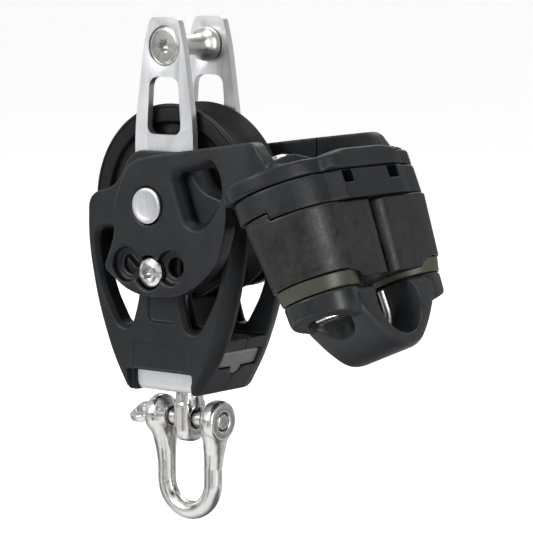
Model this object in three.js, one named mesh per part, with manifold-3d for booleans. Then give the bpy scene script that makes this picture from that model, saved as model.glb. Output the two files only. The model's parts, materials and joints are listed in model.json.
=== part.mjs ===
// Single sheave swivel block with becket, shackle and an adjustable cam cleat arm.
// Millimetres. +X points to the cleat, Y runs along the sheave axle, +Z is up.
// Everything is drawn about the axle centre; the finished group is lowered so that its
// origin is the becket pin centre.
import * as THREE from 'three';
import { mergeVertices } from 'three/addons/utils/BufferGeometryUtils.js';
import Module from 'manifold-3d';

const wasm = await Module();
wasm.setup();

// ---- driving dimensions ----------------------------------------------------------------
const GAP = 0.3; // running and assembly clearance
const REACH = 60; // longer than any cut has to go
const SIDES = [['near', -1], ['far', 1]];

const BECKET_Z = 45; // becket pin above the axle
const BECKET_HEAD_R = 5.55;
const SPOOL_WAIST_R = 2.9;
const SPOOL_FLANGE_R = 4.9;

const SHEAVE_R = 28.5;
const SHEAVE_HALF = 7.95;
const SHEAVE_BORE_R = 16.1;
const GROOVE_R = 21.5;
const BALL_COUNT = 10;
const BALL_R = 2.8;
const BALL_CIRCLE_R = 13;
const RACE_R = 9.8;

const AXLE_R = 4;
const AXLE_HEAD_R = 5.15;
const AXLE_HALF = 19.6;

const CHEEK_OUT = 14.1; // half width over the cheeks
const CHEEK_IN = 8.3;
const CHEEK_BEVEL = 2.3;
const CHEEK_BEVEL_DEPTH = 4.4;
const THROAT_Z = -38; // the cheeks close below this height
const CHEEK_FOOT_Z = -54.6;

const STRAP_OUT = 11.2;
const STRAP_IN = 9;
const STRAP_NECK_TOP_Z = -9; // a thin wall of the cheek hides the strap below this height
const STRAP_BOTTOM_Z = -54.6;
const STRAP_FOOT_HALF = 10.1;
const STRAP_BEND_R = 3.7;

const HEAD_TOP_Z = -41.8;
const HEAD_BOTTOM_Z = -46.3;
const HEAD_HALF = 8.2;
const HEAD_RIB_R = 2.3;

const ARM_IN = CHEEK_OUT + GAP;
const ARM_OUT = 18.8;
const ARM_FLARE_X = 22; // arms run straight to here, then spread
const ARM_END_X = 46.3;
const ARM_END_Y = 30;
const ARM_SEAM_X = 32; // arm ends here and the platform's wall goes on
const ARM_SCREW_R = 19.15; // from the axle to the arm screw
const ARM_STEP = THREE.MathUtils.degToRad(25.5); // between the arm's three holes
const ARM_HEAD_R = 4.5;
const ARM_SHANK_R = 2.2;
const ARM_GROOVE_FLOOR = 16.5;

const CLEAT_TILT = THREE.MathUtils.degToRad(23);
const CLEAT_X = 52; // cleat base plane crosses the middle plane here
const CLEAT_Z = 2.1;
const CAM_Y = 19; // cam pivots are 38 mm apart
const CLEAT_SET_BACK = 2; // platform's round ends sit behind the pivots
const PLATFORM_R = 14.8;
const PLATFORM_RIM = 10.4;
const PLATFORM_TOP = 11.6;
const PLATFORM_FOOT = 5.9;
const BOSS_TOP = 13;
const BOSS_R = 6.6;
const BASE_R = 14.2;
const BASE_TOP = 5.6;
const BASE_FOOT = -2.6;
const CAM_R = 13.9;
const CAM_TAPER = 0.12; // share of its size that a cam loses from top to bottom
const CAM_TOP = BASE_FOOT - GAP;
const CAM_FOOT = -21;
const CAM_SKIRT_FOOT = -23.8;
const CAM_NOSE = 18.5;
const BUSH_R = 5.8;
const CAP_TOP = CAM_FOOT - GAP;
const CAP_FOOT = -25.3;
const CAP_R = 11.7;
const FAIR_TOP = CAP_FOOT - GAP;
const FAIR_LOBE_FOOT = -34;
const FAIR_FOOT = -45;
const FAIR_LOBE_R = 10.8;
const FAIR_EYE_R = 8;
const FAIR_EYE_Z = -31.5;
const CLEAT_SCREW_R = 2.5;
const NUT_TOP = -28.9;
const NUT_FOOT = -31.9;

const PIN_Z = -63.3; // shackle pin below the axle
const PIN_R = 2.5;
const PIN_BORE_R = 2.8;
const ROD_R = 2.7;
const LEG_X = 8.7;
const EAR_IN = 6.2;
const EAR_OUT = 12.7;
const EAR_R = 6.1;
const BOW_Z = -81.9; // centre of the bow's round end
const POST_R = 3;

// ---- materials -------------------------------------------------------------------------
function material(color, roughness, metalness) {
  return new THREE.MeshStandardMaterial({ color, roughness, metalness });
}
const NYLON = material(0x2b2e31, 0.55, 0);
const CAM_NYLON = material(0x26282b, 0.62, 0);
const ACETAL = material(0x232528, 0.4, 0);
const WHITE_ACETAL = material(0xd8d8d2, 0.4, 0);
const BRUSHED = material(0xc6cbcf, 0.35, 1);
const POLISHED = material(0xd4d8dc, 0.15, 1);
const HEAD_METAL = material(0x80847f, 0.45, 0.9);
const OLIVE = material(0x3c3c2e, 0.45, 0.7);

// ---- shape helpers ---------------------------------------------------------------------
function solid(geometry) {
  const bare = geometry.clone();
  bare.deleteAttribute('normal');
  bare.deleteAttribute('uv');
  const merged = mergeVertices(bare, 1e-4);
  const index = merged.index.array;
  const position = merged.attributes.position;
  const triangles = [];
  let volume = 0;
  const [a, b, c] = [new THREE.Vector3(), new THREE.Vector3(), new THREE.Vector3()];
  for (let i = 0; i < index.length; i += 3) {
    const [p, q, r] = [index[i], index[i + 1], index[i + 2]];
    if (p === q || q === r || r === p) continue;
    triangles.push(p, q, r);
    a.fromBufferAttribute(position, p);
    b.fromBufferAttribute(position, q);
    c.fromBufferAttribute(position, r);
    volume += a.dot(b.cross(c));
  }
  if (volume < 0) triangles.reverse();
  const mesh = new wasm.Mesh({
    numProp: 3,
    vertProperties: new Float32Array(position.array),
    triVerts: new Uint32Array(triangles),
  });
  mesh.merge();
  return new wasm.Manifold(mesh);
}

const join = (first, ...others) => others.reduce((sum, other) => sum.add(other), first);
const cut = (first, ...others) => others.reduce((rest, other) => rest.subtract(other), first);
const clip = (first, other) => first.intersect(other);

// Turns a shape's own X, Y and depth into the block's axes.
const DIRECTIONS = {
  x: [[0, 1, 0], [0, 0, 1], [1, 0, 0]],
  y: [[1, 0, 0], [0, 0, 1], [0, -1, 0]],
  z: [[1, 0, 0], [0, 1, 0], [0, 0, 1]],
};

// Extrudes a shape along an axis: 'x' takes (y, z), 'y' takes (x, z), 'z' takes (x, y).
function extrude(shape, axis, from, to, bevel = {}) {
  const depth = to - from;
  const { size = 0, thickness = size } = bevel;
  const geometry = new THREE.ExtrudeGeometry(shape, {
    depth: depth - 2 * thickness,
    curveSegments: 4,
    bevelEnabled: size > 0,
    bevelSize: size,
    bevelThickness: thickness,
    bevelOffset: -size,
    bevelSegments: 1,
  });
  geometry.translate(0, 0, thickness + (axis === 'y' ? -to : from));
  const basis = DIRECTIONS[axis].map((direction) => new THREE.Vector3(...direction));
  geometry.applyMatrix4(new THREE.Matrix4().makeBasis(...basis));
  return solid(geometry);
}

function alongAxis(geometry, axis) {
  if (axis === 'x') geometry.rotateZ(-Math.PI / 2);
  if (axis === 'z') geometry.rotateX(Math.PI / 2);
  return geometry;
}

// A round bar along an axis; at gives the two or three coordinates of its centre line.
function rod(axis, radius, from, to, at = [0, 0, 0], sides = 20) {
  const geometry = new THREE.CylinderGeometry(radius, radius, to - from, sides);
  geometry.translate(0, (from + to) / 2, 0);
  alongAxis(geometry, axis).translate(...at);
  return solid(geometry);
}

// A turned piece: the profile is a closed run of [radius, place along the axis].
function turned(axis, profile, sides = 24, at = [0, 0, 0]) {
  const points = [...profile, profile[0]].map(([radius, along]) => new THREE.Vector2(radius, along));
  const geometry = new THREE.LatheGeometry(points, sides);
  alongAxis(geometry, axis).translate(...at);
  return solid(geometry);
}

function box(x, y, z) {
  const geometry = new THREE.BoxGeometry(x[1] - x[0], y[1] - y[0], z[1] - z[0]);
  geometry.translate((x[0] + x[1]) / 2, (y[0] + y[1]) / 2, (z[0] + z[1]) / 2);
  return solid(geometry);
}

// A closed outline through corners [u, v, fillet radius].
function rounded(corners) {
  const shape = new THREE.Shape();
  corners.forEach(([u, v, radius = 0], i) => {
    const corner = new THREE.Vector2(u, v);
    const before = new THREE.Vector2(...corners.at(i - 1));
    const after = new THREE.Vector2(...corners[(i + 1) % corners.length]);
    before.sub(corner);
    after.sub(corner);
    const reach = Math.min(radius, 0.48 * before.length(), 0.48 * after.length());
    const start = before.setLength(reach).add(corner);
    const end = after.setLength(reach).add(corner);
    if (i === 0) shape.moveTo(start.x, start.y);
    else shape.lineTo(start.x, start.y);
    if (radius > 0) shape.quadraticCurveTo(u, v, end.x, end.y);
  });
  shape.closePath();
  return shape;
}

// The same corners with their mirror image in u = 0, for an outline that is symmetrical.
function symmetric(half) {
  const mirrored = half.map(([u, v, radius]) => [-u, v, radius]);
  return rounded([...half, ...mirrored.reverse()]);
}

function circle(radius, u = 0, v = 0) {
  const shape = new THREE.Shape();
  shape.absarc(u, v, radius, 0, 2 * Math.PI);
  return shape;
}

// A band of constant width bent round the axle, with round ends.
function arcBand(middleRadius, halfWidth, halfAngle) {
  const down = -Math.PI / 2;
  const shape = new THREE.Shape();
  const endAt = (angle) => [middleRadius * Math.cos(angle), middleRadius * Math.sin(angle)];
  const [first, last] = [down - halfAngle, down + halfAngle];
  shape.absarc(0, 0, middleRadius + halfWidth, first, last);
  shape.absarc(...endAt(last), halfWidth, last, last + Math.PI);
  shape.absarc(0, 0, middleRadius - halfWidth, last, first, true);
  shape.absarc(...endAt(first), halfWidth, first + Math.PI, first + 2 * Math.PI);
  return shape;
}

function tube(curve, radius, steps, sides) {
  const section = new THREE.Shape();
  for (let i = 0; i < sides; i += 1) {
    const angle = (2 * Math.PI * i) / sides;
    const [u, v] = [radius * Math.cos(angle), radius * Math.sin(angle)];
    if (i === 0) section.moveTo(u, v);
    else section.lineTo(u, v);
  }
  return solid(new THREE.ExtrudeGeometry(section, { steps, extrudePath: curve, bevelEnabled: false }));
}

const mirrorY = (body) => body.mirror([0, 1, 0]);
const onSide = (body, side) => (side < 0 ? body : mirrorY(body));

// ---- scene graph -----------------------------------------------------------------------
const block = new THREE.Group();
block.position.z = -BECKET_Z;

function add(name, body, look) {
  const mesh = body.getMesh();
  const geometry = new THREE.BufferGeometry();
  geometry.setAttribute('position', new THREE.BufferAttribute(mesh.vertProperties, 3));
  geometry.setIndex(new THREE.BufferAttribute(mesh.triVerts, 1));
  geometry.computeVertexNormals();
  const part = new THREE.Mesh(geometry, look);
  part.name = name;
  block.add(part);
  return part;
}

// Pieces of the cleat are drawn upright about its base plane, then tilted into place.
function addToCleat(name, body, look) {
  const part = add(name, body, look);
  part.rotation.y = -CLEAT_TILT;
  part.position.set(CLEAT_X, 0, CLEAT_Z);
}

// ---- load strap with becket ------------------------------------------------------------
function loadStrap() {
  const plate = symmetric([
    [STRAP_FOOT_HALF, -44, 0], [STRAP_FOOT_HALF, -38.5, 1.5], [7, -36.5, 1.5], [7, -2, 5],
    [10.7, 8, 5], [10.7, 22, 8], [7.2, 44.8, 8], [4.6, 53.1, 3],
  ]);
  plate.holes.push(symmetric([[6.3, 19.75, 2.5], [5.2, 36.2, 3]]));
  const foot = rounded([
    [-STRAP_OUT, -40], [-STRAP_OUT, STRAP_BOTTOM_Z, STRAP_BEND_R],
    [STRAP_OUT, STRAP_BOTTOM_Z, STRAP_BEND_R], [STRAP_OUT, -40],
    [STRAP_IN, -40], [STRAP_IN, STRAP_BOTTOM_Z + 2.2],
    [-STRAP_IN, STRAP_BOTTOM_Z + 2.2], [-STRAP_IN, -40],
  ]);
  const head = turned('y', [
    [0, -STRAP_OUT - 1], [BECKET_HEAD_R + GAP, -STRAP_OUT - 1], [BECKET_HEAD_R + GAP, -10.4],
    [4.2, -STRAP_IN], [4.2, 0], [0, 0],
  ], 24, [0, 0, BECKET_Z]);
  const strap = join(
    extrude(plate, 'y', -STRAP_OUT, -STRAP_IN),
    extrude(plate, 'y', STRAP_IN, STRAP_OUT),
    extrude(foot, 'x', -STRAP_FOOT_HALF, STRAP_FOOT_HALF),
  );
  return cut(
    strap, head, mirrorY(head),
    rod('y', AXLE_R + GAP, -REACH, REACH),
    rod('y', ARM_SHANK_R + GAP, -REACH, REACH, [0, 0, -ARM_SCREW_R], 20),
    rod('z', POST_R + GAP, -REACH, -50),
  );
}
add('load_strap', loadStrap(), BRUSHED);

add('becket_spool', cut(
  turned('y', [
    [0, -8.7], [SPOOL_FLANGE_R, -8.7], [SPOOL_FLANGE_R, -5.9], [SPOOL_WAIST_R, -3.6],
    [SPOOL_WAIST_R, 3.6], [SPOOL_FLANGE_R, 5.9], [SPOOL_FLANGE_R, 8.7], [0, 8.7],
  ], 20, [0, 0, BECKET_Z]),
  rod('y', 2, -9, -3, [0, 0, BECKET_Z], 16),
  rod('y', 2, 3, 9, [0, 0, BECKET_Z], 16),
), POLISHED);

for (const [place, side] of SIDES) {
  const screw = turned('y', [
    [0, -STRAP_OUT], [BECKET_HEAD_R, -STRAP_OUT], [BECKET_HEAD_R, -10.5],
    [3.8, -9.1], [1.7, -9.1], [1.7, -4], [0, -4],
  ], 20, [0, 0, BECKET_Z]);
  const socket = rod('y', 2, -REACH, -10, [0, 0, BECKET_Z], 6);
  add(`becket_screw_${place}`, onSide(cut(screw, socket), side), POLISHED);
}

// ---- cheeks and head -------------------------------------------------------------------
const CHEEK_HALF_OUTLINE = [
  [11.1, CHEEK_FOOT_Z, 0], [22.6, -30.5, 12], [26.6, -12, 8],
  [26.2, 1.4, 3.5], [15.2, 4.6, 3], [9.6, 15.2, 4],
];

// The outer face is smaller than the wall behind it, by a broad bevel.
function cheekShell() {
  const full = CHEEK_HALF_OUTLINE.map(([u, v, radius]) => {
    const grow = v > CHEEK_FOOT_Z ? CHEEK_BEVEL : 1;
    return [u + grow, v, radius];
  });
  const bevel = { size: CHEEK_BEVEL, thickness: CHEEK_BEVEL_DEPTH };
  const doubled = extrude(symmetric(full), 'y', -CHEEK_OUT, CHEEK_OUT, bevel);
  const inside = box([-REACH, REACH], [-CHEEK_IN, REACH], [THROAT_Z, REACH]);
  const otherHalf = box([-REACH, REACH], [-GAP / 2, REACH], [-REACH, REACH]);
  return cut(doubled, inside, otherHalf);
}

function cheek() {
  const strapPocket = join(
    box([-11, 11], [-STRAP_OUT - GAP, 0], [STRAP_NECK_TOP_Z, REACH]),
    box([-11, 11], [-STRAP_OUT - GAP, -STRAP_IN + GAP], [-40, STRAP_NECK_TOP_Z + 1]),
  );
  const footPocket = box([-10.4, 10.4], [-STRAP_OUT - GAP, -STRAP_IN + GAP], [-REACH, THROAT_Z + 1]);
  const strapWindow = extrude(symmetric([[11, -REACH], [12.2, -48.2]]), 'y', -REACH, -STRAP_OUT);
  const strapFloor = box([-10.4, 10.4], [-REACH, 0], [-REACH, STRAP_BOTTOM_Z + 2.5]);
  const headPocket = box([-REACH, REACH], [-HEAD_HALF - GAP, 0], [HEAD_BOTTOM_Z - GAP, HEAD_TOP_Z + GAP]);
  const ribPocket = rod('x', HEAD_RIB_R + GAP, -REACH, REACH, [0, 0, HEAD_BOTTOM_Z], 16);
  const nutPocket = rod('z', 7.4, STRAP_BOTTOM_Z, HEAD_BOTTOM_Z);
  const window = extrude(rounded([
    [7.6, -8, 2], [7.8, -26, 4], [10.5, -35.6, 3], [14.5, -35.4, 3],
    [20.4, -25.6, 5], [23, -14, 4], [22.8, -8, 3],
  ]), 'y', -REACH, -CHEEK_IN + 1);
  const cheekPlate = box([-REACH, REACH], [-REACH, -CHEEK_IN], [THROAT_Z, REACH]);
  const holes = [
    strapFloor, strapWindow, footPocket, headPocket, ribPocket, nutPocket,
    window, window.mirror([1, 0, 0]),
    rod('y', AXLE_R + GAP, -REACH, REACH),
    rod('y', ARM_SHANK_R + GAP, -REACH, -CHEEK_IN, [0, 0, -ARM_SCREW_R], 20),
  ];
  return cut(cheekShell(), clip(strapPocket, cheekPlate), ...holes);
}
for (const [place, side] of SIDES) add(`${place}_cheek`, onSide(cheek(), side), NYLON);

function headBlock() {
  const section = rounded([
    [-HEAD_HALF, HEAD_TOP_Z, 1], [HEAD_HALF, HEAD_TOP_Z, 1],
    [HEAD_HALF, HEAD_BOTTOM_Z, 1], [-HEAD_HALF, HEAD_BOTTOM_Z, 1],
  ]);
  const bar = join(
    extrude(section, 'x', -REACH, REACH),
    rod('x', HEAD_RIB_R, -REACH, REACH, [0, 0, HEAD_BOTTOM_Z], 16),
  );
  const length = symmetric([[19, -41], [19, -42.5], [15.8, -49]]);
  return clip(bar, extrude(length, 'y', -REACH, REACH));
}
add('head_block', headBlock(), HEAD_METAL);

// ---- axle, bearing and sheave ----------------------------------------------------------
const HEAD_SEAT = 17.2; // underside of the axle's two heads
const BORE_START = 8;
add('axle_pin', turned('y', [
  [0, -AXLE_HALF], [AXLE_HEAD_R - 0.4, -AXLE_HALF], [AXLE_HEAD_R, -AXLE_HALF + 0.4],
  [AXLE_HEAD_R, -HEAD_SEAT], [AXLE_R, -HEAD_SEAT], [AXLE_R, HEAD_SEAT - GAP],
  [2.2, HEAD_SEAT - GAP], [2.2, BORE_START], [0, BORE_START],
]), BRUSHED);
add('axle_cap', turned('y', [
  [0, BORE_START + 1], [1.9, BORE_START + 1], [1.9, HEAD_SEAT], [AXLE_HEAD_R, HEAD_SEAT],
  [AXLE_HEAD_R, AXLE_HALF - 0.4], [AXLE_HEAD_R - 0.4, AXLE_HALF], [0, AXLE_HALF],
]), BRUSHED);

const RACE_HALF = CHEEK_IN - GAP;
add('inner_race', turned('y', [
  [AXLE_R + GAP, -RACE_HALF], [RACE_R + 1.2, -RACE_HALF], [RACE_R + 1.2, -5.4], [RACE_R, -4.4],
  [RACE_R, 4.4], [RACE_R + 1.2, 5.4], [RACE_R + 1.2, RACE_HALF], [AXLE_R + GAP, RACE_HALF],
]), WHITE_ACETAL);

function ballCage() {
  let cage = turned('y', [[12.1, -4.2], [13.9, -4.2], [13.9, 4.2], [12.1, 4.2]], 30);
  for (let i = 0; i < BALL_COUNT; i += 1) {
    const pocket = rod('x', BALL_R + GAP, 10, 16, [0, 0, 0], 10);
    cage = cut(cage, pocket.rotate([0, (360 * i) / BALL_COUNT, 0]));
  }
  return cage;
}
add('ball_cage', ballCage(), WHITE_ACETAL);

for (let i = 0; i < BALL_COUNT; i += 1) {
  const angle = (2 * Math.PI * i) / BALL_COUNT;
  const ball = new THREE.SphereGeometry(BALL_R, 10, 6);
  ball.translate(BALL_CIRCLE_R * Math.cos(angle), 0, -BALL_CIRCLE_R * Math.sin(angle));
  add(`ball_${String(i + 1).padStart(2, '0')}`, solid(ball), POLISHED);
}

function sheave() {
  const flank = [
    [SHEAVE_BORE_R, SHEAVE_HALF - 1.5], [SHEAVE_BORE_R, -SHEAVE_HALF + 1.5],
    [23.2, -SHEAVE_HALF + 1.5], [23.8, -SHEAVE_HALF], [SHEAVE_R - 0.5, -SHEAVE_HALF],
    [SHEAVE_R, -SHEAVE_HALF + 0.5], [SHEAVE_R, -6.9],
  ];
  const groove = [-5, -2.6, 0, 2.6, 5].map((y) => [GROOVE_R + 5.6 * (y / 6.4) ** 2, y]);
  const otherFlank = [
    [SHEAVE_R, 6.9], [SHEAVE_R, SHEAVE_HALF - 0.5], [SHEAVE_R - 0.5, SHEAVE_HALF],
    [23.8, SHEAVE_HALF], [23.2, SHEAVE_HALF - 1.5],
  ];
  return turned('y', [...flank, ...groove, ...otherFlank], 44);
}
add('sheave', sheave(), ACETAL);

// ---- cam arm ---------------------------------------------------------------------------
const ARM_OUTLINE = [
  [-12.6, -9.2, 2.5], [-16.6, -18.8, 1.5], [-6, -26, 8], [12, -26, 8], [28, -14, 6], [38, 4, 2],
  [60, 4, 0], [49.8, 16.9, 1], [46.3, 20.6, 2], [28, 18.2, 6], [3, 14.6, 4], [-7.5, 12.5, 7], [-13.2, -1, 6],
];
const ARM_OPENING = [
  [9.6, 9.6, 2.4], [15, -4.8, 3.2], [19.4, -4.8, 3.2], [28.8, 5.6, 3], [24.6, 12.4, 3],
];

// Outline seen from the side, cut by the bent plate seen from above.
function armPlate() {
  const seen = extrude(rounded(ARM_OUTLINE), 'y', -REACH, 0);
  const plan = rounded([
    [-REACH, -ARM_OUT], [ARM_FLARE_X, -ARM_OUT], [ARM_END_X, -ARM_END_Y], [REACH, -ARM_END_Y],
    [REACH, -ARM_END_Y + 4.6], [ARM_END_X, -ARM_END_Y + 4.6], [ARM_FLARE_X + 0.8, -ARM_IN], [-REACH, -ARM_IN],
  ]);
  return clip(seen, extrude(plan, 'z', -REACH, REACH));
}

function arm() {
  const opening = extrude(rounded(ARM_OPENING), 'y', -REACH, 0);
  const slot = extrude(arcBand(ARM_SCREW_R, ARM_SHANK_R + GAP, ARM_STEP), 'y', -REACH, 0);
  const groove = extrude(arcBand(ARM_SCREW_R, ARM_HEAD_R + GAP, ARM_STEP), 'y', -REACH, -ARM_GROOVE_FLOOR);
  const headSeat = rod('y', AXLE_HEAD_R + GAP, -REACH, -HEAD_SEAT + GAP);
  const bore = rod('y', AXLE_R + GAP, -REACH, 0);
  const platformSide = box([ARM_SEAM_X, REACH], [-REACH, 0], [-REACH, REACH]);
  return cut(armPlate(), opening, slot, groove, headSeat, bore, platformSide);
}
for (const [place, side] of SIDES) {
  add(`${place}_arm`, onSide(arm(), side), NYLON);
  const screw = turned('y', [
    [0, -18.9], [2.6, -18.7], [ARM_HEAD_R, -17.8], [ARM_HEAD_R, -ARM_GROOVE_FLOOR - GAP],
    [ARM_SHANK_R, -ARM_GROOVE_FLOOR - GAP], [ARM_SHANK_R, -8.9], [0, -8.9],
  ], 16, [0, 0, -ARM_SCREW_R]);
  const socket = rod('y', 2, -REACH, -17.6, [0, 0, -ARM_SCREW_R], 6);
  add(`arm_screw_${place}`, onSide(cut(screw, socket), side), POLISHED);
}

// ---- cam cleat, drawn upright with its base plane at z = 0 ----------------------------
// Outline of two round ends set back from the pivots, joined by straight sides.
function twinOutline(radius, frontEdge, backEdge, setBack) {
  const shape = new THREE.Shape();
  shape.absarc(-setBack, -CAM_Y, radius, Math.PI, 2 * Math.PI);
  shape.lineTo(frontEdge, -CAM_Y + 6);
  shape.lineTo(frontEdge, CAM_Y - 6);
  shape.absarc(-setBack, CAM_Y, radius, 0, Math.PI);
  shape.lineTo(-backEdge, CAM_Y - 6);
  shape.lineTo(-backEdge, -CAM_Y + 6);
  return shape;
}

const pivotPair = (radius, from, to) => join(
  rod('z', radius, from, to, [0, -CAM_Y, 0], 20),
  rod('z', radius, from, to, [0, CAM_Y, 0], 20),
);

function cleatPlatform() {
  const shape = twinOutline(PLATFORM_R, 15.6, 12, CLEAT_SET_BACK);
  const slab = extrude(shape, 'z', PLATFORM_FOOT, PLATFORM_RIM, { size: 0.6 });
  const crown = box([-10, 15.6], [-15, 15], [PLATFORM_RIM - 1, PLATFORM_TOP]);
  const bosses = pivotPair(BOSS_R, PLATFORM_RIM - 1, BOSS_TOP);
  const wallStart = ARM_SEAM_X + GAP;
  const wallRoom = box([wallStart, REACH], [-REACH, REACH], [-REACH, REACH]);
  const walls = SIDES.map(([, side]) => onSide(clip(armPlate(), wallRoom), side));
  const opening = extrude(rounded(ARM_OPENING), 'y', -REACH, REACH);
  const upright = (body) => body.translate([-CLEAT_X, 0, -CLEAT_Z]).rotate([0, THREE.MathUtils.radToDeg(CLEAT_TILT), 0]);
  const below = box([-REACH, REACH], [-REACH, REACH], [-REACH, PLATFORM_FOOT]);
  const outside = box([4.6, REACH], [-REACH, REACH], [-REACH, REACH]);
  const uprightWalls = walls.map((wall) => cut(upright(cut(wall, opening)), below, outside));
  return cut(join(slab, crown, bosses, ...uprightWalls), pivotPair(CLEAT_SCREW_R + GAP, -REACH, REACH));
}
addToCleat('cleat_platform', cleatPlatform(), NYLON);

addToCleat('cleat_base', cut(
  extrude(twinOutline(BASE_R, 15.2, 10.5, CLEAT_SET_BACK / 2), 'z', BASE_FOOT, BASE_TOP, { size: 0.4 }),
  pivotPair(CLEAT_SCREW_R + GAP, -REACH, REACH),
), NYLON);

// The cam turns about the origin here; its nose reaches towards the middle plane and
// hangs past the cap as a skirt.
function cam() {
  const shape = new THREE.Shape();
  shape.moveTo(0, CAM_R);
  shape.absarc(0, 0, CAM_R, Math.PI / 2, (3 * Math.PI) / 2);
  shape.lineTo(9, -CAM_R);
  shape.absarc(0, 0, CAM_NOSE, -0.6, 0);
  shape.lineTo(CAM_NOSE, CAM_R - 1.5);
  shape.quadraticCurveTo(CAM_NOSE, CAM_R, CAM_NOSE - 1.5, CAM_R);
  shape.closePath();
  const length = CAM_TOP - CAM_SKIRT_FOOT;
  const geometry = new THREE.ExtrudeGeometry(shape, { depth: length, curveSegments: 12, bevelEnabled: false });
  const position = geometry.attributes.position;
  for (let i = 0; i < position.count; i += 1) {
    const scale = 1 - CAM_TAPER * (position.getZ(i) / length);
    position.setXY(i, position.getX(i) * scale, position.getY(i) * scale);
  }
  geometry.rotateX(Math.PI);
  geometry.rotateZ(Math.PI / 2);
  geometry.translate(0, 0, CAM_TOP);
  return cut(
    solid(geometry),
    rod('z', CAP_R + GAP, -REACH, CAM_FOOT, [0, 0, 0], 28),
    box([-REACH, REACH], [-REACH, 2], [-REACH, CAM_FOOT]),
    rod('z', BUSH_R + GAP, -REACH, REACH),
    rod('z', 9.6, -14, REACH),
  );
}

class SpringCurve extends THREE.Curve {
  getPoint(t, target = new THREE.Vector3()) {
    const angle = t * 2 * Math.PI * SPRING_TURNS;
    return target.set(SPRING_R * Math.cos(angle), SPRING_R * Math.sin(angle), SPRING_TOP - t * SPRING_LENGTH);
  }
}
const SPRING_TURNS = 3;
const SPRING_R = 7.9;
const SPRING_TOP = -4;
const SPRING_LENGTH = 8;
const SPRING_WIRE_R = 0.7;

const camTurn = cam();
for (const [place, side] of SIDES) {
  const at = [0, side * CAM_Y, 0];
  addToCleat(`cam_${place}`, onSide(camTurn.translate([0, -CAM_Y, 0]), side), CAM_NYLON);
  const bush = turned('z', [
    [CLEAT_SCREW_R + GAP, CAM_FOOT], [BUSH_R, CAM_FOOT], [BUSH_R, CAM_TOP], [CLEAT_SCREW_R + GAP, CAM_TOP],
  ], 20, at);
  addToCleat(`cam_bush_${place}`, bush, BRUSHED);
  const spring = tube(new SpringCurve(), SPRING_WIRE_R, 12 * SPRING_TURNS, 5);
  addToCleat(`cam_spring_${place}`, spring.translate(at), POLISHED);
  const cap = turned('z', [
    [CLEAT_SCREW_R + GAP, CAP_FOOT], [CAP_R - 0.8, CAP_FOOT], [CAP_R, CAP_TOP], [CLEAT_SCREW_R + GAP, CAP_TOP],
  ], 28, at);
  addToCleat(`cam_cap_${place}`, cap, OLIVE);
  const screw = turned('z', [
    [0, NUT_FOOT], [CLEAT_SCREW_R, NUT_FOOT], [CLEAT_SCREW_R, BOSS_TOP + GAP], [4.6, BOSS_TOP + GAP],
    [4.6, BOSS_TOP + 1.4], [2.6, BOSS_TOP + 2.6], [0, BOSS_TOP + 2.9],
  ], 18, at);
  const socket = rod('z', 1.8, BOSS_TOP + 1.4, REACH, at, 6);
  addToCleat(`cleat_screw_${place}`, cut(screw, socket), POLISHED);
  const nut = cut(rod('z', 4.4, NUT_FOOT, NUT_TOP, at, 6), rod('z', CLEAT_SCREW_R + GAP, -REACH, REACH, at, 16));
  addToCleat(`cleat_nut_${place}`, nut, POLISHED);
}

// Two lobes under the cams and a chin that closes the eye between them.
function fairlead() {
  const lobe = turned('z', [
    [0, FAIR_LOBE_FOOT], [FAIR_LOBE_R - 2, FAIR_LOBE_FOOT], [FAIR_LOBE_R - 0.6, FAIR_LOBE_FOOT + 2],
    [FAIR_LOBE_R, FAIR_TOP], [0, FAIR_TOP],
  ], 24, [0, -CAM_Y, 0]);
  const front = symmetric([
    [CAM_Y, FAIR_TOP], [CAM_Y, FAIR_LOBE_FOOT, 2], [13, FAIR_LOBE_FOOT - 4, 6], [6, FAIR_FOOT, 5],
  ]);
  const chin = extrude(front, 'x', -FAIR_LOBE_R, FAIR_LOBE_R, { size: 2.4 });
  const mouth = turned('x', [
    [0, -REACH], [11, -REACH], [11, -FAIR_LOBE_R], [FAIR_EYE_R, -5], [FAIR_EYE_R, 5],
    [11, FAIR_LOBE_R], [11, REACH], [0, REACH],
  ], 24, [0, 0, FAIR_EYE_Z]);
  const eye = join(mouth, box([-REACH, REACH], [-FAIR_EYE_R, FAIR_EYE_R], [FAIR_EYE_Z, REACH]));
  const pocket = join(
    rod('z', 5.2, -REACH, NUT_TOP + GAP, [0, 0, 0], 16),
    rod('z', 7.2, -REACH, -32, [0, 0, 0], 24),
  );
  const slope = box([-REACH, REACH], [-REACH, 8], [-REACH, 0]).rotate([-20, 0, 0]).translate([0, -CAM_Y, -32.4]);
  const shank = pivotPair(CLEAT_SCREW_R + GAP, -REACH, REACH);
  const pockets = SIDES.map(([, side]) => pocket.translate([0, side * CAM_Y, 0]));
  const body = cut(join(lobe, mirrorY(lobe), chin), slope, mirrorY(slope));
  return cut(body, eye, wireSeat(WIRE_R + GAP), shank, ...pockets);
}

const WIRE_R = 1.1;
const WIRE_TOP = -26.6;
function wireSeat(radius) {
  const path = new THREE.CurvePath();
  const bend = new THREE.EllipseCurve(0, 0, FAIR_EYE_R, FAIR_EYE_R, Math.PI, 2 * Math.PI);
  const points = [new THREE.Vector3(0, -FAIR_EYE_R, WIRE_TOP)];
  for (const point of bend.getPoints(8)) points.push(new THREE.Vector3(0, point.x, point.y + FAIR_EYE_Z));
  points.push(new THREE.Vector3(0, FAIR_EYE_R, WIRE_TOP));
  for (let i = 1; i < points.length; i += 1) path.add(new THREE.LineCurve3(points[i - 1], points[i]));
  return tube(path, radius, 10, 8);
}
addToCleat('fairlead', fairlead(), NYLON);
addToCleat('fairlead_wire', wireSeat(WIRE_R), POLISHED);

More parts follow.
